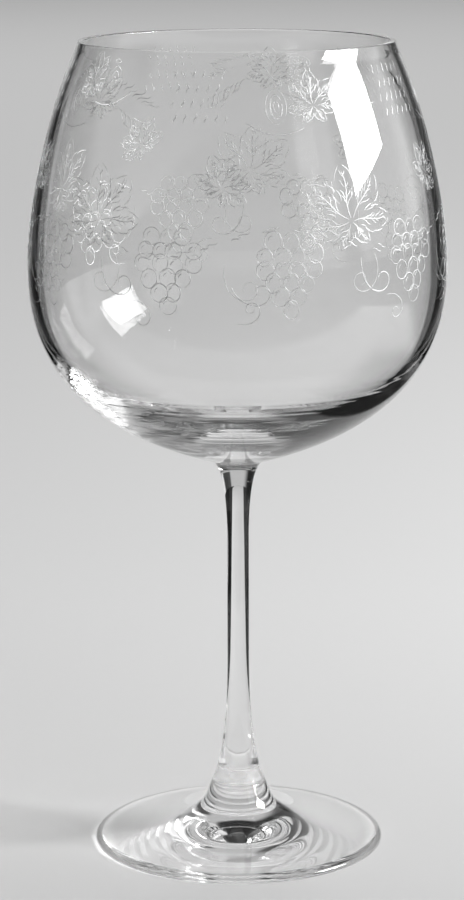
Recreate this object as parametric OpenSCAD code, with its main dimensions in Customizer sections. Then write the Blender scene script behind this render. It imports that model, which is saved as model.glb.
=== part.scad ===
// Balloon wine glass: a blown bowl, a drawn stem and a pressed foot, fused end to end.
// Millimetres, +Z up, origin at the centre of the surface that the foot stands on.

/* [Foot] */
// Diameter of the foot
foot_d = 77.6; // [60:0.1:95]
// Height of the foot's rounded edge
foot_edge_t = 2.2; // [1.5:0.1:3.5]
// How far in from the edge the rounding of its upper side reaches
foot_edge_w = 2.3; // [1:0.1:4]
// Radius of the edge's lower corner
foot_base_r = 0.5; // [0.3:0.1:1]
// Fall of the foot's upper side where it meets the edge, in degrees
foot_fall = 9; // [4:0.5:14]
// Height of the boss that the stem is fused to
boss_h = 16.4; // [12:0.1:22]
// How far the boss runs down before it turns outwards
boss_sweep = 9; // [4:0.1:12]
// How far inside the edge the upper side starts to lift
foot_sweep = 28.8; // [10:0.1:29]
// Width of the flat ring that the glass stands on
ring_w = 1.6; // [1:0.1:6]
// Height of the hollow under the foot
hollow_h = 2.5; // [1:0.1:5]
// Rise of the hollow where it leaves the ring, in degrees
hollow_rise = 4; // [1:0.5:8]
// How far the hollow keeps that rise inside the ring
hollow_sweep = 18; // [8:0.1:24]
// How far the hollow stays level round the axis
hollow_flat = 2; // [1:0.1:10]

/* [Stem] */
// Length of the stem between its two fused faces
stem_l = 88.2; // [50:0.1:130]
// Diameter of the stem along its straight middle
stem_d = 5.8; // [5:0.1:8]
// Diameter of the fused face on the foot
foot_joint_d = 14; // [11:0.1:16]
// Lean of the surface across the joint with the foot, in degrees
foot_joint_lean = 66; // [55:1:80]
// Length of the flare that runs down into the foot
low_flare_l = 36; // [20:0.1:38]
// How far the lower flare follows the joint's lean
low_flare_sweep = 7; // [5:0.1:13]
// How far the lower flare follows the straight middle
low_flare_turn = 17; // [8:0.1:22]
// Length of the flare that runs up into the bowl
top_flare_l = 21; // [12:0.1:26]
// How far the upper flare follows the bowl's underside
top_flare_sweep = 1.6; // [1:0.1:4]
// How far the upper flare follows the straight middle
top_flare_turn = 17; // [8:0.1:20]

/* [Bowl] */
// Height of the bowl from its fused face to the lip
bowl_h = 110.4; // [95:0.1:130]
// Diameter of the fused face on the stem
bowl_joint_d = 14.4; // [12:0.1:18]
// Diameter of the bowl at its belly
belly_d = 109.6; // [95:0.1:125]
// Height of the belly above the fused face
belly_h = 51.2; // [45:0.1:60]
// Diameter over the lip
rim_d = 82; // [70:0.1:92]
// Lean of the wall at the lip, in degrees
rim_lean = 20; // [10:0.5:25]
// Rise of the underside beside the stem, in degrees
under_rise = 16.7; // [10:0.1:24]
// How far the underside runs out before it turns up
under_sweep = 29.8; // [20:0.1:34]
// How far below the belly the wall starts to turn in
under_turn = 28.8; // [20:0.1:34]
// How far above the belly the wall stays upright
shoulder_turn = 17.8; // [10:0.1:26]
// How far below the lip the wall already leans
shoulder_sweep = 18.2; // [10:0.1:26]

/* [Wall] */
// Thickness of the wall at the lip
rim_wall = 1.5; // [1:0.1:2]
// Radius of the lip's two rounded corners
lip_round = 0.4; // [0.2:0.1:0.5]
// Thickness of the wall at the belly
belly_wall = 2.4; // [1.4:0.1:3]
// Thickness of the glass on the axis, above the stem
floor_t = 10; // [6:0.1:12]
// How far the hollow's round bottom keeps inside the heel
heel_in = 2; // [0:0.1:9]
// How far the hollow's side keeps above the heel
heel_up = 1; // [0:0.1:5]

/* [Hidden] */
$fn = 128;
// Straight steps along each free curve
curve_steps = 16;
// Straight steps round each corner of the lip and of the foot
round_steps = 8;
// Share of a quarter round that its handles reach
round_share = 0.55;

// Heights of the fused faces and of the lip
stem_top_z = boss_h + stem_l;
rim_z = stem_top_z + bowl_h;

foot_r = foot_d / 2;
stem_r = stem_d / 2;
foot_joint_r = foot_joint_d / 2;
bowl_joint_r = bowl_joint_d / 2;
belly_r = belly_d / 2;
belly_z = stem_top_z + belly_h;
belly_in_r = belly_r - belly_wall;
floor_z = stem_top_z + floor_t;

// Ends of the foot's rounded edge, the centre of its lower corner, and the standing ring's inner end
edge_top = [foot_r - foot_edge_w, foot_edge_t];
edge_side = [foot_r, foot_base_r];
base_c = [foot_r - foot_base_r, foot_base_r];
ring_in = [base_c.x - ring_w, 0];

// Centres of the lip's outer and inner rounds, and the two ends of the wall there
lip_out_c = [rim_d / 2 - lip_round, rim_z - lip_round];
lip_in_c = lip_out_c - [(rim_wall - 2 * lip_round) / cos(rim_lean), 0];
lip_out = lip_out_c + lip_round * aim(rim_lean);
lip_in = lip_in_c - lip_round * aim(rim_lean);

// Handles of the bowl's outer curve, which the hollow's handles keep inside
under_a = [bowl_joint_r, stem_top_z] + under_sweep * aim(under_rise);
under_b = [belly_r, belly_z - under_turn];
well_a = [under_a.x - heel_in, floor_z];
well_b = [belly_in_r, under_b.y + heel_up];

// Unit vector at an angle above the horizontal
function aim(a) = [cos(a), sin(a)];

// Points of a cubic curve from p to q, with handles a and b, without its last point
function curve(p, a, b, q) = [
    for (i = [0 : curve_steps - 1])
        let (t = i / curve_steps, u = 1 - t)
        u * u * u * p + 3 * u * u * t * a + 3 * u * t * t * b + t * t * t * q
];

// Points of an arc about c from angle a to angle b
function arc(c, r, a, b, steps) = [
    for (i = [0 : steps])
        c + r * aim(a + (b - a) * i / steps)
];

// Upper side of the foot, from the fused face out to the rounded edge
function foot_top() =
    let (p = [foot_joint_r, boss_h])
    curve(p, p + boss_sweep * aim(-foot_joint_lean), edge_top + foot_sweep * aim(180 - foot_fall), edge_top);

// Rounded edge of the foot, from its upper side down to the standing ring
function foot_edge() = concat(
    curve(edge_top, edge_top + round_share * foot_edge_w * aim(-foot_fall),
        edge_side + [0, round_share * (foot_edge_t - foot_base_r)], edge_side),
    arc(base_c, foot_base_r, 0, -90, round_steps)
);

// Hollow under the foot, from the standing ring in to the axis
function foot_hollow() = concat(
    curve(ring_in, ring_in + hollow_sweep * aim(180 - hollow_rise), [hollow_flat, hollow_h], [0, hollow_h]),
    [[0, hollow_h]]
);

// Lower flare of the stem, from the fused face on the foot up to the straight middle
function low_flare() =
    let (
        p = [foot_joint_r, boss_h],
        q = [stem_r, boss_h + low_flare_l]
    )
    curve(p, p + low_flare_sweep * aim(180 - foot_joint_lean), q - [0, low_flare_turn], q);

// Upper flare of the stem, from the straight middle up to the fused face on the bowl
function top_flare() =
    let (
        p = [stem_r, stem_top_z - top_flare_l],
        q = [bowl_joint_r, stem_top_z]
    )
    curve(p, p + [0, top_flare_turn], q - top_flare_sweep * aim(under_rise), q);

// Outside of the bowl, from the fused face up to the lip
function bowl_outside() = concat(
    curve([bowl_joint_r, stem_top_z], under_a, under_b, [belly_r, belly_z]),
    curve([belly_r, belly_z], [belly_r, belly_z + shoulder_turn],
        lip_out - shoulder_sweep * aim(90 + rim_lean), lip_out)
);

// Inside of the bowl, from the lip down to the middle of the floor
function bowl_inside() = concat(
    curve(lip_in, lip_in - shoulder_sweep * aim(90 + rim_lean),
        [belly_in_r, belly_z + shoulder_turn], [belly_in_r, belly_z]),
    curve([belly_in_r, belly_z], well_b, well_a, [0, floor_z])
);

// Pressed disc with a cone-shaped boss, a rounded edge and a shallow hollow underneath
module foot() {
    color("gainsboro", 0.5)
        rotate_extrude()
            polygon(concat(
                [[0, boss_h]],
                foot_top(),
                foot_edge(),
                foot_hollow()
            ));
}

// Solid rod, drawn thin in the middle and flared at both ends
module stem() {
    color("lightgray", 0.5)
        rotate_extrude()
            polygon(concat(
                [[0, boss_h]],
                low_flare(),
                [[stem_r, boss_h + low_flare_l]],
                top_flare(),
                [[bowl_joint_r, stem_top_z]],
                [[0, stem_top_z]]
            ));
}

// Blown shell, thin at the lip and heavy towards its floor
module bowl() {
    color("whitesmoke", 0.5)
        rotate_extrude()
            polygon(concat(
                [[0, stem_top_z]],
                bowl_outside(),
                arc(lip_out_c, lip_round, rim_lean, 90, round_steps),
                arc(lip_in_c, lip_round, 90, rim_lean + 180, round_steps),
                bowl_inside(),
                [[0, floor_z]]
            ));
}

foot();
stem();
bowl();
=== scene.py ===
import math
import random

import bpy
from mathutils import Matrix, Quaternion, Vector


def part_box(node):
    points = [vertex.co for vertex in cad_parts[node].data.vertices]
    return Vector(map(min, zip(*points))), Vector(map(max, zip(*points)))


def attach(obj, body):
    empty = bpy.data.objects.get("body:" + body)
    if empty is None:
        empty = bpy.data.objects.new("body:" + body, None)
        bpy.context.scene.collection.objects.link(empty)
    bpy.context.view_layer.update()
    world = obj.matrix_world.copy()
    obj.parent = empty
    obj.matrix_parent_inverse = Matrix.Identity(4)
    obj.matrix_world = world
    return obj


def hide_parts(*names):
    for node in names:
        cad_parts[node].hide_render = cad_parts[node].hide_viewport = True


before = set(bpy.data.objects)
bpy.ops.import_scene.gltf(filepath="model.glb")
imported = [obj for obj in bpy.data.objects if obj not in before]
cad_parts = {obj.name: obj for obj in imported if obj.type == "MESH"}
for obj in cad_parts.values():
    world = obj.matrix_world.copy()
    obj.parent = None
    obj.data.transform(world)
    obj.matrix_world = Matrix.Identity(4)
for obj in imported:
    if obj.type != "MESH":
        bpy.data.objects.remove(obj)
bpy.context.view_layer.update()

# Foot: a round disc of clear glass, pressed with a cone-shaped boss on top, a rounded edge
# and a shallow hollow underneath. It is fire polished, and the stem is fused to its boss.
MM = 0.001
FOOT_R = 38.8
FOOT_EDGE_T = 2.2
FOOT_EDGE_W = 2.3
FOOT_BASE_R = 0.5
FOOT_FALL = 9
BOSS_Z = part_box("foot")[1].z / MM
BOSS_SWEEP = 9
FOOT_SWEEP = 28.8
FOOT_JOINT_R = 7
FOOT_JOINT_LEAN = 66
RING_W = 1.6
HOLLOW_H = 2.5
HOLLOW_RISE = 4
HOLLOW_SWEEP = 18
HOLLOW_FLAT = 2
ROUND_SHARE = 0.55
STEPS_ROUNDED = 16
STEPS_ALONG = 48
STEPS_ROUND = 192
SAME_SPOT = 3e-7
SAME_LEVEL = 1e-6
NO_JOINT = -1
NO_EDGE = 1000
GLASS_IOR = 1.5
CLEAREST = 0.998
CORD_SCALE = (90, 90, 400)
CORD_DETAIL = 3
CORD_DEPTH = 0.03
FOOT_SHADOW = 1.0
EDGE_SHADOW = 0.75


class Wire:
    """One output of a node tree. Arithmetic on it adds Math nodes to the tree."""

    def __init__(self, tree, socket):
        self.tree = tree
        self.socket = socket

    @classmethod
    def node(cls, tree, kind, settings=None, sockets=None, out=0):
        made = tree.nodes.new(kind)
        for key, value in (settings or {}).items():
            setattr(made, key, value)
        for key, value in (sockets or {}).items():
            target = made.inputs[key]
            if isinstance(value, Wire):
                tree.links.new(value.socket, target)
            else:
                target.default_value = value
        return cls(tree, made.outputs[out] if made.outputs else None)

    def other(self, name):
        return Wire(self.tree, self.socket.node.outputs[name])

    def math(self, operation, *values):
        return Wire.node(self.tree, "ShaderNodeMath", {"operation": operation}, dict(enumerate(values)))

    def __add__(self, other):
        return self.math("ADD", self, other)

    def __radd__(self, other):
        return self.math("ADD", other, self)

    def __sub__(self, other):
        return self.math("SUBTRACT", self, other)

    def __rsub__(self, other):
        return self.math("SUBTRACT", other, self)

    def __mul__(self, other):
        return self.math("MULTIPLY", self, other)

    def __rmul__(self, other):
        return self.math("MULTIPLY", other, self)

    def __truediv__(self, other):
        return self.math("DIVIDE", self, other)


class Section:
    """Half section of a turned piece, drawn upwards from the axis: radius and height in millimetres."""

    def __init__(self, r, z):
        self.points = [Vector((r, z))]

    def line(self, r, z):
        self.points.append(Vector((r, z)))

    def bend(self, leave, arrive, r, z, steps):
        """Adds a cubic curve to a point, with the handles that it leaves and arrives by."""
        start = self.points[-1]
        end = Vector((r, z))
        for step in range(1, steps + 1):
            t = step / steps
            u = 1 - t
            near_ends = u ** 3 * start + t ** 3 * end
            self.points.append(near_ends + 3 * u * t * (u * Vector(leave) + t * Vector(arrive)))

    def arc(self, centre, start, end, steps):
        radius = (self.points[-1] - Vector(centre)).length
        for step in range(1, steps + 1):
            self.points.append(Vector(centre) + radius * aim(start + (end - start) * step / steps))

    def ripple(self, steps, depth, pitches):
        """Gives the last bend faint waves, strongest towards its end."""
        first = len(self.points) - 1 - steps
        run = 0
        for step in range(1, steps):
            here, ahead = self.points[first + step], self.points[first + step + 1]
            run += (ahead - here).length
            swell = depth * math.sin(math.pi * (step / steps) ** 2) ** 2
            wave = sum(math.sin(math.tau * run / pitch) for pitch in pitches)
            self.points[first + step] = here + swell * wave * (ahead - here).orthogonal().normalized()


def aim(angle):
    return Vector((math.cos(math.radians(angle)), math.sin(math.radians(angle))))


def new_tree(name, inputs):
    tree = bpy.data.node_groups.new(name, "GeometryNodeTree")
    tree.interface.new_socket("Geometry", in_out="INPUT", socket_type="NodeSocketGeometry")
    tree.interface.new_socket("Geometry", in_out="OUTPUT", socket_type="NodeSocketGeometry")
    for label, kind in inputs.items():
        tree.interface.new_socket(label, in_out="INPUT", socket_type="NodeSocket" + kind)
    return tree, tree.nodes.new("NodeGroupInput").outputs


def end_tree(tree, geometry):
    whole = Wire.node(tree, "GeometryNodeRealizeInstances", {}, {"Geometry": geometry})
    ending = tree.nodes.new("NodeGroupOutput")
    tree.links.new(whole.socket, ending.inputs[0])


def lathe_tree():
    """Turns a half section round the Z axis, and gives the edge and the fused faces their materials."""
    tree, given = new_tree("turn_on_axis", {
        "Steps round": "Int", "Low joint": "Float", "High joint": "Float", "Edge radius": "Float",
        "Glass": "Material", "Edge": "Material", "Fused face": "Material",
    })
    wire = {socket.name: Wire(tree, socket) for socket in given if socket.name}
    outline = Wire.node(tree, "GeometryNodeCurveToMesh", {}, {"Curve": wire["Geometry"]})
    rows = Wire.node(tree, "GeometryNodeAttributeDomainSize", {}, {"Geometry": outline}, "Point Count")
    round_count = wire["Steps round"] + 1
    sheet = Wire.node(tree, "GeometryNodeMeshGrid", {}, {"Vertices X": rows, "Vertices Y": round_count})
    index = Wire.node(tree, "GeometryNodeInputIndex")
    row = (index / round_count).math("FLOOR", index / round_count)
    turn = (index - row * round_count) / wire["Steps round"] * math.tau
    place = Wire.node(tree, "GeometryNodeInputPosition")
    knot = Wire.node(tree, "GeometryNodeSampleIndex", {"data_type": "FLOAT_VECTOR"},
                     {"Geometry": outline, "Value": place, "Index": row})
    split = Wire.node(tree, "ShaderNodeSeparateXYZ", {}, {0: knot})
    radius, height = split, split.other("Z")
    turned = Wire.node(tree, "ShaderNodeCombineXYZ", {}, {
        "X": radius * turn.math("COSINE", turn),
        "Y": radius * turn.math("SINE", turn),
        "Z": height,
    })
    body = Wire.node(tree, "GeometryNodeSetPosition", {}, {"Geometry": sheet, "Position": turned})
    body = Wire.node(tree, "GeometryNodeMergeByDistance", {}, {"Geometry": body, "Distance": SAME_SPOT})
    body = Wire.node(tree, "GeometryNodeFlipFaces", {}, {"Mesh": body})
    level = Wire.node(tree, "ShaderNodeSeparateXYZ", {}, {0: place}).other("Z")
    low = level.math("COMPARE", level, wire["Low joint"], SAME_LEVEL)
    high = level.math("COMPARE", level, wire["High joint"], SAME_LEVEL)
    fused = low.math("MAXIMUM", low, high)
    body = Wire.node(tree, "GeometryNodeSetShadeSmooth", {"domain": "FACE"},
                     {"Geometry": body, "Shade Smooth": 1 - fused})
    body = Wire.node(tree, "GeometryNodeSetMaterial", {}, {"Geometry": body, "Material": wire["Glass"]})
    spot = Wire.node(tree, "ShaderNodeSeparateXYZ", {}, {0: place})
    reach = spot * spot + spot.other("Y") * spot.other("Y")
    edge = reach.math("GREATER_THAN", reach, wire["Edge radius"] * wire["Edge radius"])
    body = Wire.node(tree, "GeometryNodeSetMaterial", {},
                     {"Geometry": body, "Selection": edge, "Material": wire["Edge"]})
    body = Wire.node(tree, "GeometryNodeSetMaterial", {},
                     {"Geometry": body, "Selection": fused, "Material": wire["Fused face"]})
    end_tree(tree, body)
    return tree


def grown(thing, tree, values):
    """Runs a Geometry Nodes tree on an object and returns the result as a plain mesh object."""
    modifier = thing.modifiers.new(tree.name, "NODES")
    modifier.node_group = tree
    for item in tree.interface.items_tree:
        if item.in_out == "INPUT" and item.name in values:
            modifier[item.identifier] = values[item.name]
    evaluated = thing.evaluated_get(bpy.context.evaluated_depsgraph_get())
    mesh = bpy.data.meshes.new_from_object(evaluated)
    for place in reversed(range(len(mesh.materials))):
        if mesh.materials[place] is None:
            mesh.materials.pop(index=place)
    name = thing.name
    bpy.data.objects.remove(thing)
    piece = bpy.data.objects.new(name, mesh)
    mesh.name = name
    bpy.context.collection.objects.link(piece)
    return piece


def section_curve(name, section):
    data = bpy.data.curves.new(name, "CURVE")
    data.dimensions = "3D"
    spline = data.splines.new("POLY")
    spline.points.add(len(section.points) - 1)
    for point, (r, z) in zip(spline.points, section.points):
        point.co = (r * MM, 0, z * MM, 1)
    thing = bpy.data.objects.new(name, data)
    bpy.context.collection.objects.link(thing)
    return thing


lathe = lathe_tree()


def turned(name, node, section, material, low, high, edge_r=NO_EDGE, edge=None):
    thing = section_curve(name, section)
    piece = grown(thing, lathe, {
        "Steps round": STEPS_ROUND, "Low joint": low * MM, "High joint": high * MM,
        "Edge radius": edge_r * MM, "Glass": material, "Edge": edge or material, "Fused face": fused_face,
    })
    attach(piece, "root")
    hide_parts(node)
    node + "_glass"


def new_material(name):
    material = bpy.data.materials.new(name)
    material.use_nodes = True
    material.node_tree.nodes.clear()
    return material, material.node_tree


def clear_glass(name, shadow):
    """Clear glass with faint cords in it. Its surface lets a share of the light through to the floor."""
    material, tree = new_material(name)
    place = Wire.node(tree, "ShaderNodeTexCoord", out="Object")
    place = Wire.node(tree, "ShaderNodeMapping", {}, {"Vector": place, "Scale": CORD_SCALE})
    cords = Wire.node(tree, "ShaderNodeTexNoise", {}, {"Vector": place, "Scale": 1.0, "Detail": CORD_DETAIL})
    glass = Wire.node(tree, "ShaderNodeBsdfPrincipled", {}, {
        "Base Color": CLEAREST - cords * CORD_DEPTH,
        "Roughness": 0.0,
        "IOR": GLASS_IOR,
        "Transmission Weight": 1.0,
    })
    clear = Wire.node(tree, "ShaderNodeBsdfTransparent", {}, {"Color": (shadow, shadow, shadow, 1)})
    blocking = Wire.node(tree, "ShaderNodeLightPath", out="Is Shadow Ray")
    mixed = Wire.node(tree, "ShaderNodeMixShader", {}, {0: blocking, 1: glass, 2: clear})
    Wire.node(tree, "ShaderNodeOutputMaterial", {}, {"Surface": mixed})
    return material


def melted_seam():
    material, tree = new_material("melted_seam")
    seam = Wire.node(tree, "ShaderNodeBsdfPrincipled", {}, {"Alpha": 0.0, "Roughness": 0.0})
    Wire.node(tree, "ShaderNodeOutputMaterial", {}, {"Surface": seam})
    return material


fused_face = melted_seam()

base_c = Vector((FOOT_R - FOOT_BASE_R, FOOT_BASE_R))
ring_in = Vector((base_c.x - RING_W, 0))
edge_up = Vector((0, FOOT_EDGE_T - FOOT_BASE_R))
edge_top = Vector((FOOT_R - FOOT_EDGE_W, FOOT_EDGE_T))
foot_joint = Vector((FOOT_JOINT_R, BOSS_Z))

foot_section = Section(0, HOLLOW_H)
foot_section.bend((HOLLOW_FLAT, HOLLOW_H), ring_in + HOLLOW_SWEEP * aim(180 - HOLLOW_RISE),
                  *ring_in, STEPS_ALONG)
foot_section.line(base_c.x, 0)
foot_section.arc(base_c, -90, 0, STEPS_ROUNDED)
foot_section.bend(foot_section.points[-1] + ROUND_SHARE * edge_up,
                  edge_top + ROUND_SHARE * FOOT_EDGE_W * aim(-FOOT_FALL), *edge_top, STEPS_ROUNDED)
foot_section.bend(edge_top + FOOT_SWEEP * aim(180 - FOOT_FALL),
                  foot_joint + BOSS_SWEEP * aim(-FOOT_JOINT_LEAN), *foot_joint, STEPS_ALONG)
foot_section.line(0, BOSS_Z)
foot_glass = clear_glass("foot_clear_glass", FOOT_SHADOW)
edge_glass = clear_glass("foot_edge_glass", EDGE_SHADOW)
turned("foot_turned", "foot", foot_section, foot_glass, NO_JOINT, BOSS_Z, edge_top.x, edge_glass)

# Stem: a solid rod of clear glass, drawn out thin by hand while hot and flared at both ends,
# where it is fused to the foot's boss and to the bottom of the bowl.
STEM_R = 2.9
STEM_TOP_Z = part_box("stem")[1].z / MM
LOW_FLARE_L = 36
LOW_FLARE_SWEEP = 7
LOW_FLARE_TURN = 17
TOP_FLARE_L = 21
TOP_FLARE_SWEEP = 1.6
TOP_FLARE_TURN = 17
BOWL_JOINT_R = 7.2
UNDER_RISE = 16.7
STEM_SHADOW = 0.1

low_end = Vector((STEM_R, BOSS_Z + LOW_FLARE_L))
top_end = Vector((STEM_R, STEM_TOP_Z - TOP_FLARE_L))
bowl_joint = Vector((BOWL_JOINT_R, STEM_TOP_Z))

stem_section = Section(0, BOSS_Z)
stem_section.line(*foot_joint)
stem_section.bend(foot_joint + LOW_FLARE_SWEEP * aim(180 - FOOT_JOINT_LEAN),
                  low_end - Vector((0, LOW_FLARE_TURN)), *low_end, STEPS_ALONG)
stem_section.line(*top_end)
stem_section.bend(top_end + Vector((0, TOP_FLARE_TURN)),
                  bowl_joint - TOP_FLARE_SWEEP * aim(UNDER_RISE), *bowl_joint, STEPS_ALONG)
stem_section.line(0, STEM_TOP_Z)
stem_glass = clear_glass("stem_clear_glass", STEM_SHADOW)
turned("stem_drawn", "stem", stem_section, stem_glass, BOSS_Z, STEM_TOP_Z)

# Bowl: a balloon of clear glass, blown into a mould, heavy at the bottom, where the stem is fused to
# it, and thin at the fire-polished lip, where the wall turns slightly upright. Its inside has faint
# waves towards the bottom.
RIM_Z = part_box("bowl")[1].z / MM
BELLY_R = 54.8
BELLY_H = 51.2
RIM_R = 41
RIM_LEAN = 14
NECK_DOWN = 3
NECK_OUT = 1.03
NECK_LEAN = 24
NECK_WALL = 1.6
NECK_SWEEP = 1
UNDER_SWEEP = 29.8
UNDER_TURN = 28.8
SHOULDER_TURN = 17.8
SHOULDER_SWEEP = 16.5
RIM_WALL = 1.5
LIP_ROUND = 0.4
BELLY_WALL = 2.4
FLOOR_T = 10
HEEL_IN = 2
HEEL_UP = 1
STEPS_RIPPLED = 160
RIPPLE_DEPTH = 0.015
RIPPLE_PITCHES = (2.6, 1.6)
BOWL_SHADOW = 0.84

belly = Vector((BELLY_R, STEM_TOP_Z + BELLY_H))
belly_in = belly - Vector((BELLY_WALL, 0))
lip_out_c = Vector((RIM_R - LIP_ROUND, RIM_Z - LIP_ROUND))
lip_in_c = lip_out_c - Vector(((RIM_WALL - 2 * LIP_ROUND) / aim(RIM_LEAN).x, 0))
lip_out = lip_out_c + LIP_ROUND * aim(RIM_LEAN)
lip_in = lip_in_c - LIP_ROUND * aim(RIM_LEAN)
under_a = bowl_joint + UNDER_SWEEP * aim(UNDER_RISE)
under_b = belly - Vector((0, UNDER_TURN))
well_a = (under_a.x - HEEL_IN, STEM_TOP_Z + FLOOR_T)
well_b = belly_in - Vector((0, UNDER_TURN - HEEL_UP))
upright = Vector((0, SHOULDER_TURN))
leaning = SHOULDER_SWEEP * aim(90 + NECK_LEAN)
neck = lip_out + Vector((NECK_OUT, -NECK_DOWN))
neck_in = neck - NECK_WALL * aim(NECK_LEAN)
past_neck = NECK_SWEEP * aim(90 + NECK_LEAN)
to_lip = NECK_SWEEP * aim(90 + RIM_LEAN)

bowl_section = Section(0, STEM_TOP_Z)
bowl_section.line(*bowl_joint)
bowl_section.bend(under_a, under_b, *belly, STEPS_ALONG)
bowl_section.bend(belly + upright, neck - leaning, *neck, STEPS_ALONG)
bowl_section.bend(neck + past_neck, lip_out - to_lip, *lip_out, STEPS_ROUNDED)
bowl_section.arc(lip_out_c, RIM_LEAN, 90, STEPS_ROUNDED)
bowl_section.line(lip_in_c.x, RIM_Z)
bowl_section.arc(lip_in_c, 90, RIM_LEAN + 180, STEPS_ROUNDED)
bowl_section.bend(lip_in - to_lip, neck_in + past_neck, *neck_in, STEPS_ROUNDED)
bowl_section.bend(neck_in - leaning, belly_in + upright, *belly_in, STEPS_ALONG)
bowl_section.bend(well_b, well_a, 0, STEM_TOP_Z + FLOOR_T, STEPS_RIPPLED)
bowl_section.ripple(STEPS_RIPPLED, RIPPLE_DEPTH, RIPPLE_PITCHES)
bowl_glass = clear_glass("bowl_clear_glass", BOWL_SHADOW)
turned("bowl_blown", "bowl", bowl_section, bowl_glass, STEM_TOP_Z, NO_JOINT)

# Engraved leaves: a band of vine leaves cut into the outside of the bowl with a small wheel. Each cut
# is short, slightly wavy, tapered at both ends and left matt.
CUT_W = 0.26
CUT_H = 0.08
CUT_SIDES = 6
CUT_STEP = 0.8
CUT_END = 0.3
CUT_UNEVEN = 0.4
FEWEST_STEPS = 6
MATT_COLOUR = (0.8, 0.81, 0.81, 1)
MATT_METALLIC = 0.7
MATT_ROUGH, MATT_ROUGH_RANGE = 0.35, 0.3
MATT_ALPHA = 0.75
GRAIN_SCALE, GRAIN_DETAIL = 900, 2
REPEATS = 5
VINE_Z = 174
VINE_TURN = -40
LEAF_REACH = 14
LEAF_HEADING = 97
SIDE_LEAF_REACH = 8.5
SIDE_LEAF_HEADING = 60
SIDE_LEAF_AT = Vector((33, 9))
LOBES = ((0, 1.0), (47, 0.94), (-47, 0.94), (94, 0.8), (-94, 0.8), (146, 0.52), (-146, 0.52))
LOBE_UNEVEN, LOBE_STRAY = 0.07, 4
VEIN_FROM, VEIN_SHARE, VEIN_SWAY = 0.06, 0.86, 0.03
SIDE_VEINS = (0.3, 0.46, 0.62, 0.78)
SIDE_VEIN_STRAY = 0.08
SIDE_VEIN_SHARE, SIDE_VEIN_END, SIDE_VEIN_UNEVEN = 0.36, 1.12, 0.3
SIDE_VEIN_LEAN, SIDE_VEIN_LEAN_UNEVEN, SIDE_VEIN_SWAY = 30, 0.25, 0.07
TEETH = ((0.4, 27), (0.6, 25), (0.78, 15), (1.0, 0))
TOOTH_STRAY, TOOTH_SHARE, TOOTH_LEAN = 0.03, 0.05, 70
TOOTH_BULGE, TOOTH_BULGE_UNEVEN = 0.1, 0.5


class Drawing:
    """Cuts of an engraving, drawn flat in millimetres: along the bowl's wall and up it."""

    def __init__(self, seed):
        self.cuts = []
        self.chance = random.Random(seed)

    def near(self, value, share):
        return value * (1 + self.chance.uniform(-share, share))

    def wavy(self, start, heading, length, sway):
        forward, side = aim(heading), aim(heading + 90)
        self.cuts.append([start + forward * length * t + side * sway * math.sin(math.tau * t)
                          for t in shares(length)])

    def bow(self, start, end, bulge):
        side = (end - start).orthogonal()
        self.cuts.append([start.lerp(end, t) + side * bulge * math.sin(math.pi * t)
                          for t in shares((end - start).length)])

    def oval(self, centre, across, up, begin, sweep):
        size = Vector((across, up))
        self.cuts.append([centre + size * aim(begin + sweep * t)
                          for t in shares(math.radians(sweep) * max(across, up))])

    def curl(self, start, heading, length, first_bend, last_bend):
        cut = [start]
        for t in shares(length)[1:]:
            heading += (first_bend + (last_bend - first_bend) * t * t) * CUT_STEP
            cut.append(cut[-1] + CUT_STEP * aim(heading))
        self.cuts.append(cut)


def shares(length):
    """Even shares from 0 to 1, about one step of the cutting wheel apart."""
    steps = max(FEWEST_STEPS, round(length / CUT_STEP))
    return [step / steps for step in range(steps + 1)]


def vine_leaf(drawing, base, heading, reach):
    """A lobed leaf: each lobe has a wavy vein, side veins and a toothed edge of separate cuts."""
    for lean, share in LOBES:
        length = drawing.near(reach * share, LOBE_UNEVEN)
        lobe = heading + lean + drawing.chance.uniform(-LOBE_STRAY, LOBE_STRAY)
        start = base + VEIN_FROM * length * aim(lobe)
        drawing.wavy(start, lobe, VEIN_SHARE * length, VEIN_SWAY * length)
        for side in (-1, 1):
            for place in SIDE_VEINS:
                vein = drawing.near(SIDE_VEIN_SHARE * length * (SIDE_VEIN_END - place), SIDE_VEIN_UNEVEN)
                start = base + drawing.near(place, SIDE_VEIN_STRAY) * length * aim(lobe)
                turn = side * drawing.near(SIDE_VEIN_LEAN, SIDE_VEIN_LEAN_UNEVEN)
                drawing.wavy(start, lobe + turn, vein, SIDE_VEIN_SWAY * vein)
            edge = [base + drawing.near(out, TOOTH_STRAY) * length * aim(lobe + side * turn)
                    for out, turn in TEETH]
            tooth = TOOTH_SHARE * length * aim(lobe + side * TOOTH_LEAN)
            for low, high in zip(edge, edge[1:]):
                drawing.bow(low, high + tooth, side * drawing.near(TOOTH_BULGE, TOOTH_BULGE_UNEVEN))


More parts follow.
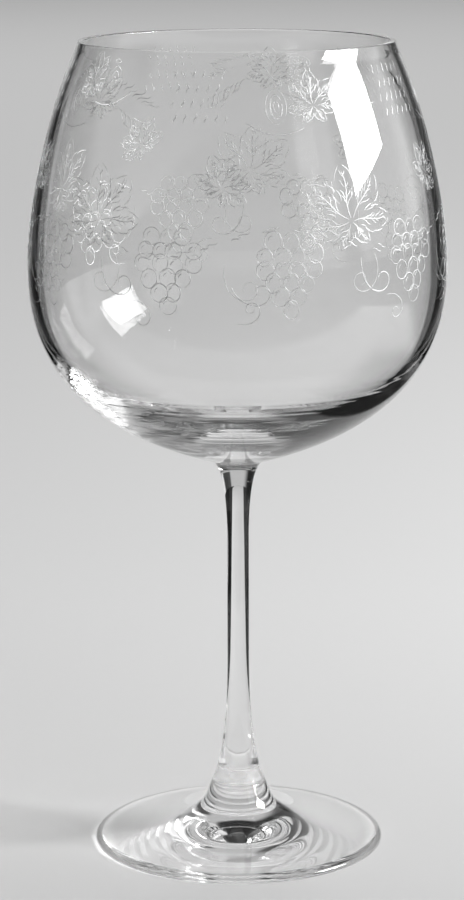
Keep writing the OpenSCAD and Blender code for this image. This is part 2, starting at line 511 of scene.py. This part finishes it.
def engraving_tree():
    """Gives flat strokes their width and height, repeats them, and wraps them round the bowl's wall."""
    tree, given = new_tree("engrave_round_wall", {
        "Wall": "Object", "Wall radius": "Float", "Wall length": "Float", "Turn": "Float",
        "Repeats": "Int", "Cut width": "Float", "Cut height": "Float", "Matt cut": "Material",
    })
    wire = {socket.name: Wire(tree, socket) for socket in given if socket.name}
    strokes = Wire.node(tree, "GeometryNodeSetCurveNormal", {"mode": "Z_UP"}, {"Curve": wire["Geometry"]})
    along = Wire.node(tree, "GeometryNodeSplineParameter") * math.pi
    swell = along.math("SINE", along)
    swell = CUT_END + swell.math("SQRT", swell.math("MAXIMUM", swell, 0.0)) * (1 - CUT_END)
    swell = swell * Wire.node(tree, "GeometryNodeInputRadius")
    ring = Wire.node(tree, "GeometryNodeCurvePrimitiveCircle", {}, {"Resolution": CUT_SIDES, "Radius": 0.5})
    size = Wire.node(tree, "ShaderNodeCombineXYZ", {},
                     {"X": wire["Cut width"], "Y": wire["Cut height"], "Z": 1.0})
    ring = Wire.node(tree, "GeometryNodeTransform", {}, {"Geometry": ring, "Scale": size})
    cuts = Wire.node(tree, "GeometryNodeCurveToMesh", {},
                     {"Curve": strokes, "Profile Curve": ring, "Scale": swell, "Fill Caps": True})
    pitch = wire["Wall radius"] * math.tau / wire["Repeats"]
    step = Wire.node(tree, "ShaderNodeCombineXYZ", {}, {"X": pitch})
    spots = Wire.node(tree, "GeometryNodeMeshLine", {}, {"Count": wire["Repeats"], "Offset": step})
    band = Wire.node(tree, "GeometryNodeInstanceOnPoints", {}, {"Points": spots, "Instance": cuts})
    band = Wire.node(tree, "GeometryNodeRealizeInstances", {}, {"Geometry": band})
    flat = Wire.node(tree, "ShaderNodeSeparateXYZ", {}, {0: Wire.node(tree, "GeometryNodeInputPosition")})
    rise = flat.other("Z")
    wall = Wire.node(tree, "GeometryNodeObjectInfo", {}, {"Object": wire["Wall"]}, "Geometry")
    knot = Wire.node(tree, "GeometryNodeSampleCurve", {"mode": "LENGTH"},
                     {"Curves": wall, "Length": wire["Wall length"] + flat.other("Y")}, "Position")
    lean = Wire.node(tree, "ShaderNodeSeparateXYZ", {}, {0: knot.other("Tangent")})
    knot = Wire.node(tree, "ShaderNodeSeparateXYZ", {}, {0: knot})
    radius = knot + rise * lean.other("Z")
    turn = wire["Turn"] + flat / wire["Wall radius"]
    wrapped = Wire.node(tree, "ShaderNodeCombineXYZ", {}, {
        "X": radius * turn.math("SINE", turn),
        "Y": 0 - radius * turn.math("COSINE", turn),
        "Z": knot.other("Z") - rise * lean,
    })
    band = Wire.node(tree, "GeometryNodeSetPosition", {}, {"Geometry": band, "Position": wrapped})
    band = Wire.node(tree, "GeometryNodeSetShadeSmooth", {"domain": "FACE"}, {"Geometry": band})
    band = Wire.node(tree, "GeometryNodeSetMaterial", {}, {"Geometry": band, "Material": wire["Matt cut"]})
    end_tree(tree, band)
    return tree


def wall_at(height):
    """Length along the bowl's outer wall up to a height, and the wall's radius there."""
    length = 0
    for low, high in zip(wall_section.points, wall_section.points[1:]):
        if high.y >= height:
            share = (height - low.y) / (high.y - low.y)
            return length + share * (high - low).length, low.lerp(high, share).x
        length += (high - low).length


def matt_cut():
    material, tree = new_material("matt_cut")
    place = Wire.node(tree, "ShaderNodeTexCoord", out="Object")
    grain = Wire.node(tree, "ShaderNodeTexNoise", {},
                      {"Vector": place, "Scale": GRAIN_SCALE, "Detail": GRAIN_DETAIL})
    cut = Wire.node(tree, "ShaderNodeBsdfPrincipled", {}, {
        "Base Color": MATT_COLOUR,
        "Metallic": MATT_METALLIC,
        "Roughness": MATT_ROUGH + grain * MATT_ROUGH_RANGE,
        "Alpha": grain * MATT_ALPHA,
    })
    Wire.node(tree, "ShaderNodeOutputMaterial", {}, {"Surface": cut})
    return material


wall_section = Section(*bowl_joint)
wall_section.bend(under_a, under_b, *belly, STEPS_ALONG)
wall_section.bend(belly + upright, neck - leaning, *neck, STEPS_ALONG)
wall_section.bend(neck + past_neck, lip_out - to_lip, *lip_out, STEPS_ROUNDED)
wall_curve = section_curve("bowl_wall", wall_section)
engraving = engraving_tree()
frosting = matt_cut()


def engraved(name, drawing, height, turn):
    data = bpy.data.curves.new(name, "CURVE")
    data.dimensions = "3D"
    for cut in drawing.cuts:
        spline = data.splines.new("POLY")
        spline.points.add(len(cut) - 1)
        depth = drawing.near(1, CUT_UNEVEN)
        for point, (along, up) in zip(spline.points, cut):
            point.co = (along * MM, up * MM, 0, 1)
            point.radius = depth
    thing = bpy.data.objects.new(name, data)
    bpy.context.collection.objects.link(thing)
    length, radius = wall_at(height)
    piece = grown(thing, engraving, {
        "Wall": wall_curve, "Wall radius": radius * MM, "Wall length": length * MM,
        "Turn": math.radians(turn), "Repeats": REPEATS,
        "Cut width": CUT_W * MM, "Cut height": CUT_H * MM, "Matt cut": frosting,
    })
    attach(piece, "root")


leaves = Drawing(3)
vine_leaf(leaves, Vector((0, 0)), LEAF_HEADING, LEAF_REACH)
vine_leaf(leaves, SIDE_LEAF_AT, SIDE_LEAF_HEADING, SIDE_LEAF_REACH)
engraved("engraved_leaves", leaves, VINE_Z, VINE_TURN)

# Engraved grapes: bunches that hang between the leaves, each grape a thin oval ring with a short
# curved gleam inside it, cut like the leaves.
GRAPE_R = 2
GRAPE_TALL = 1.12
GRAPE_UNEVEN = 0.1
GRAPE_SWEEP = 345
GRAPE_GAP = 4.1
GRAPE_ROW = 3.4
STRAY_ACROSS, STRAY_UP = 0.5, 0.4
GLEAM_SHARE, GLEAM_FROM, GLEAM_SWEEP = 0.55, 100, 80
BUNCH_ROWS = (3, 4, 4, 3, 2, 1)
BUNCHES = (Vector((-17, -4)), Vector((20, -3)))


def grape_bunch(drawing, top):
    for row, count in enumerate(BUNCH_ROWS):
        for place in range(count):
            off = Vector(((place - (count - 1) / 2) * GRAPE_GAP, -row * GRAPE_ROW))
            stray_across = drawing.chance.uniform(-STRAY_ACROSS, STRAY_ACROSS)
            stray_up = drawing.chance.uniform(-STRAY_UP, STRAY_UP)
            grape = top + off + Vector((stray_across, stray_up))
            across = drawing.near(GRAPE_R, GRAPE_UNEVEN)
            up = drawing.near(GRAPE_R * GRAPE_TALL, GRAPE_UNEVEN)
            drawing.oval(grape, across, up, drawing.chance.uniform(0, 360), GRAPE_SWEEP)
            drawing.oval(grape, GLEAM_SHARE * across, GLEAM_SHARE * up, GLEAM_FROM, GLEAM_SWEEP)


grapes = Drawing(5)
for spot in BUNCHES:
    grape_bunch(grapes, spot)
engraved("engraved_grapes", grapes, VINE_Z, VINE_TURN)

# Engraved tendrils: thin shoots that curl down between the bunches, and a few loose cuts along the
# vine that they grow from.
TENDRILS = (
    (Vector((2, -9)), -95, 22, 4, 40),
    (Vector((6, -8)), -60, 24, -6, -44),
    (Vector((10, -19)), 10, 17, -8, -56),
    (Vector((-31, -15)), -70, 20, 6, 46),
    (Vector((34, -9)), -100, 22, 4, 42),
    (Vector((37, -24)), -20, 16, 10, 60),
)
SHOOT_CUTS = 9
SHOOT_SWAY = 3.5
SHOOT_DROP = 4
SHOOT_TILT = 25
SHOOT_UNEVEN = 0.3
LONG_CUT, LONG_SWAY = 3.6, 0.25
SHORT_CUT, SHORT_SWAY = 2.8, 0.2
SHORT_OFF = Vector((1.5, 0.9))

tendrils = Drawing(9)
unit = math.tau * wall_at(VINE_Z)[1] / REPEATS
for part in range(SHOOT_CUTS):
    along = (part + 0.5) / SHOOT_CUTS
    start = Vector((unit * (along - 0.5), SHOOT_SWAY * math.sin(math.tau * along) - SHOOT_DROP))
    heading = SHOOT_TILT * math.cos(math.tau * along)
    tendrils.wavy(start, heading, tendrils.near(LONG_CUT, SHOOT_UNEVEN), LONG_SWAY)
    tendrils.wavy(start - SHORT_OFF, heading, tendrils.near(SHORT_CUT, SHOOT_UNEVEN), SHORT_SWAY)
for tendril in TENDRILS:
    tendrils.curl(*tendril)
engraved("engraved_tendrils", tendrils, VINE_Z, VINE_TURN)

# Engraved sprays: a narrow band under the lip, with a small leaf, an oval bud, a spray of loose cuts
# and rows of short upright cuts in each repeat.
SPRAY_Z = 203
SPRAY_TURN = -48
SMALL_LEAF_AT = Vector((0, -1))
SMALL_LEAF_HEADING = 90
SMALL_LEAF_REACH = 8.6
BUD = Vector((-9.5, -1))
BUD_SIZES = ((2.6, 4.4), (1.5, 3.0), (0.7, 1.4))
BUD_SWEEP = 340
TWIG_FROM, TWIG_TO, TWIG_BULGE = Vector((-17, -5)), Vector((-3, -6.5)), -0.16
FAN_CUTS, FAN_UNEVEN = 7, 0.3
FANS = (
    (Vector((7, -2)), Vector((1.6, -0.9)), -52, -4, 5, 0.4),
    (Vector((6, 3)), Vector((1.5, -0.7)), 38, -6, 3.4, 0.3),
)
ROWS_AT = Vector((22, 6))
ROWS, ROW_CUTS = 4, 6
ROW_STEP, ROW_GAP = 2.5, 3.7
ROW_HEADING, ROW_HEADING_UNEVEN = 82, 0.1
ROW_CUT, ROW_CUT_UNEVEN, ROW_SWAY = 2.2, 0.2, 0.2

sprays = Drawing(11)
vine_leaf(sprays, SMALL_LEAF_AT, SMALL_LEAF_HEADING, SMALL_LEAF_REACH)
for across, up in BUD_SIZES:
    sprays.oval(BUD, across, up, sprays.chance.uniform(0, 360), BUD_SWEEP)
sprays.bow(TWIG_FROM, TWIG_TO, TWIG_BULGE)
for cut in range(FAN_CUTS):
    for first, step, heading, turn, length, sway in FANS:
        sprays.wavy(first + cut * step, heading + cut * turn, sprays.near(length, FAN_UNEVEN), sway)
for row in range(ROWS):
    for place in range(ROW_CUTS):
        spot = ROWS_AT + Vector((place * ROW_STEP + row % 2, -row * ROW_GAP))
        heading = sprays.near(ROW_HEADING, ROW_HEADING_UNEVEN)
        sprays.wavy(spot, heading, sprays.near(ROW_CUT, ROW_CUT_UNEVEN), ROW_SWAY)
engraved("engraved_sprays", sprays, SPRAY_Z, SPRAY_TURN)
bpy.data.objects.remove(wall_curve)

# Stage: a floor of pale paper, with painted shade under the foot and towards the front, one softbox
# at the right, a broad light over the floor behind and a dim room with a pale wall, a window and pale
# panels. Glass sees more than the camera does: the paper as a strip that widens behind it and ends in front
# and at the right, with dark beside it and a painted pool of light at the right.
FLOOR_HALF = 12.0
FLOOR_BACK = 4.0
PAPER = 0.665
DARK = 0.01
PAPER_HALF_W = 0.068
PAPER_WIDENS = 0.22
PAPER_FADE = 0.006
FADE_WIDENS = 0.04
DARK_FROM_Y = -0.06
DARK_FADE = 0.06
# Painted pool of light: the floor at the right and in front, pale instead of dark, seen only in the glass.
LIT_FROM_X = 0.22
LIT_FADE = 0.06
LIT_SHARE = 0.8
LIT_TO_Y, LIT_Y_FADE = 0.12, 0.1
PAPER_FRONT_Y, PAPER_RIGHT_X, PAPER_END = -0.25, 0.62, 0.03
# Painted shade: the paper gets darker towards the front.
PAINTED_FRONT_SHADE = 0.18
DIM_FROM_Y, DIM_FADE = -0.12, 0.4
# Painted shade under the foot: how much darker the paper is, and the disc's radius and soft edge.
PAINTED_FOOT_SHADE, PAINTED_FOOT_SHADE_R, PAINTED_FOOT_SHADE_FADE = 0.32, 0.033, 0.004


def ramp(value, start, width):
    """Smooth step of a wire from 0 at start to 1 at start + width."""
    return Wire.node(value.tree, "ShaderNodeMapRange", {"interpolation_type": "SMOOTHSTEP"},
                     {"Value": (value - start) / width})


def studio_floor():
    """Floor with the paper's strip turned towards the camera. Camera rays see pale paper all over, with
    painted shade towards the front and under the foot.
    """
    data = bpy.data.meshes.new("studio_floor")
    corners = ((-1, -FLOOR_HALF), (1, -FLOOR_HALF), (1, FLOOR_BACK), (-1, FLOOR_BACK))
    data.from_pydata([(side * FLOOR_HALF, y, 0) for side, y in corners], [], [(0, 1, 2, 3)])
    thing = bpy.data.objects.new("studio_floor", data)
    bpy.context.collection.objects.link(thing)
    material, tree = new_material("pale_paper")
    place = Wire.node(tree, "ShaderNodeTexCoord", out="Object")
    spot = Wire.node(tree, "ShaderNodeSeparateXYZ", {}, {0: place})
    ahead = Wire.node(tree, "ShaderNodeVectorTransform", {"convert_from": "CAMERA", "convert_to": "WORLD"},
                      {"Vector": (0, 0, 1)})
    ahead = Wire.node(tree, "ShaderNodeSeparateXYZ", {}, {0: ahead})
    level = ahead * ahead + ahead.other("Y") * ahead.other("Y")
    level = level.math("SQRT", level)
    across = (spot * ahead.other("Y") - spot.other("Y") * ahead) / level
    along = (spot * ahead + spot.other("Y") * ahead.other("Y")) / level
    behind = along.math("MAXIMUM", along, 0.0)
    half_w = PAPER_HALF_W + behind * PAPER_WIDENS
    fade = PAPER_FADE + behind * FADE_WIDENS
    beside = ramp(across.math("ABSOLUTE", across), half_w, fade) * ramp(along, DARK_FROM_Y, DARK_FADE)
    # Painted light: at the right the dark beside the strip turns pale, a pool of light painted on the floor.
    lit = LIT_SHARE * ramp(across, LIT_FROM_X, LIT_FADE) * (1 - ramp(along, LIT_TO_Y, LIT_Y_FADE))
    covered = ramp(along, PAPER_FRONT_Y, PAPER_END) * (1 - ramp(across, PAPER_RIGHT_X, PAPER_END))
    unseen = 1 - Wire.node(tree, "ShaderNodeLightPath", out="Is Camera Ray")
    shade = PAPER - (PAPER - DARK) * unseen * (1 - covered * (1 - beside * (1 - lit)))
    # Painted shade: the paper darker towards the front of the floor.
    shade = shade * (1 - PAINTED_FRONT_SHADE + PAINTED_FRONT_SHADE * ramp(along, DIM_FROM_Y, DIM_FADE))
    # Painted shade: a darker disc of paper under the foot, where the foot keeps light from the floor.
    reach = across * across + along * along
    under = 1 - ramp(reach.math("SQRT", reach), PAINTED_FOOT_SHADE_R, PAINTED_FOOT_SHADE_FADE)
    shade = shade * (1 - PAINTED_FOOT_SHADE * under)
    paper = Wire.node(tree, "ShaderNodeBsdfDiffuse", {}, {"Color": shade})
    Wire.node(tree, "ShaderNodeOutputMaterial", {}, {"Surface": paper})
    data.materials.append(material)


def soft_light(name, centre, aim_at, roll, width, height, power):
    data = bpy.data.lights.new(name, "AREA")
    data.shape = "RECTANGLE"
    data.size = width
    data.size_y = height
    data.energy = power
    lamp = bpy.data.objects.new(name, data)
    lamp.location = centre
    facing = (Vector(aim_at) - Vector(centre)).to_track_quat("-Z", "Y")
    lamp.rotation_euler = (facing @ Quaternion((0, 0, 1), math.radians(roll))).to_euler()
    bpy.context.collection.objects.link(lamp)
    return lamp


SOFTBOX_AT, SOFTBOX_AIM, SOFTBOX_ROLL = (1.434, -0.19, 0.78), (0, 0, 0.16), 6
SOFTBOX_W, SOFTBOX_H, SOFTBOX_POWER = 0.76, 0.52, 42.2
FAR_AT, FAR_AIM, FAR_ROLL = (0, 2.6, 3.0), (0, 2.6, 0), 0
FAR_W, FAR_H, FAR_POWER = 2.0, 2.0, 64
ROOM = 0.012
WALL = 0.5
WALL_FROM, WALL_TO = -12, 60
WALL_FADE = 16
WALL_TOP, WALL_TOP_FADE = 42, 8
GAP_DARK = 0.9
GAP_FROM, GAP_TO, GAP_FADE = 15, 45, 5
GAP_LOW, GAP_TOP = -6, 16
WINDOW = 0.7
WINDOW_FROM, WINDOW_TO, WINDOW_FADE = 122, 140, 6
WINDOW_TOP = 26
FRONT = 0.3
FRONT_FROM, FRONT_FADE, FRONT_TOP = 100, 40, 45
SIDE = 0.9
SIDE_FROM, SIDE_TO, SIDE_FADE = 60, 105, 8
SIDE_TOP, SIDE_TOP_FADE = 18, 8


def dim_room():
    """World with soft-edged panels, placed by their turn from straight behind and by their rise."""
    world = bpy.data.worlds.new("dim_room")
    world.use_nodes = True
    tree = world.node_tree
    tree.nodes.clear()
    x = Wire.node(tree, "ShaderNodeTexCoord", out="Generated")
    x = Wire.node(tree, "ShaderNodeSeparateXYZ", {}, {0: x})
    turn = x.math("ARCTAN2", x, x.other("Y")) * math.degrees(1)
    rise = x.math("ARCSINE", x.other("Z")) * math.degrees(1)

    def panel(start, end, fade, top, top_fade):
        sides = ramp(turn, start - fade, fade) * (1 - ramp(turn, end, fade))
        return sides * (1 - ramp(rise, top, top_fade))

    wall = panel(WALL_FROM, WALL_TO, WALL_FADE, WALL_TOP, WALL_TOP_FADE)
    window = panel(WINDOW_FROM, WINDOW_TO, WINDOW_FADE, WINDOW_TOP, WINDOW_FADE)
    side = panel(SIDE_FROM, SIDE_TO, SIDE_FADE, SIDE_TOP, SIDE_TOP_FADE)
    front = ramp(turn.math("ABSOLUTE", turn), FRONT_FROM, FRONT_FADE) * (1 - ramp(rise, 0, FRONT_TOP))
    shade = ROOM + wall * (WALL - ROOM) + window * (WINDOW - ROOM)
    shade = shade + side * (SIDE - ROOM) + front * (FRONT - ROOM)
    gap = ramp(turn, GAP_FROM, GAP_FADE) * (1 - ramp(turn, GAP_TO, GAP_FADE))
    gap = gap * ramp(rise, GAP_LOW, GAP_FADE) * (1 - ramp(rise, GAP_TOP, GAP_FADE))
    shade = shade * (1 - GAP_DARK * gap)
    light = Wire.node(tree, "ShaderNodeBackground", {}, {"Color": shade, "Strength": 1.0})
    Wire.node(tree, "ShaderNodeOutputWorld", {}, {"Surface": light})
    bpy.context.scene.world = world


studio_floor()
soft_light("softbox", SOFTBOX_AT, SOFTBOX_AIM, SOFTBOX_ROLL, SOFTBOX_W, SOFTBOX_H, SOFTBOX_POWER)
far_light = soft_light("far_floor_light", FAR_AT, FAR_AIM, FAR_ROLL, FAR_W, FAR_H, FAR_POWER)
far_light.visible_glossy = False
far_light.visible_transmission = False
dim_room()

# Camera: the photograph's viewpoint and focal length, found from the glass's outline.
CAMERA_BACK = 0.7734
CAMERA_UP = 0.2719
CAMERA_DIP = 12.03
CAMERA_YAW = 0.076
CAMERA_ROLL = 0.171
FOCAL_PX = 2986.7
IMAGE_H = 900
SENSOR = 36
LIGHT_BOUNCES = 32

lens = bpy.data.cameras.new("photo_camera")
lens.sensor_width = SENSOR
lens.lens = FOCAL_PX / IMAGE_H * SENSOR
camera = bpy.data.objects.new("photo_camera", lens)
camera.location = (0, -CAMERA_BACK, CAMERA_UP)
camera.rotation_euler = [math.radians(a) for a in (90 - CAMERA_DIP, CAMERA_ROLL, CAMERA_YAW)]
bpy.context.collection.objects.link(camera)
bpy.context.scene.camera = camera
bpy.context.scene.view_settings.view_transform = "Standard"
for kind in ("max_bounces", "glossy_bounces", "transmission_bounces"):
    setattr(bpy.context.scene.cycles, kind, LIGHT_BOUNCES)
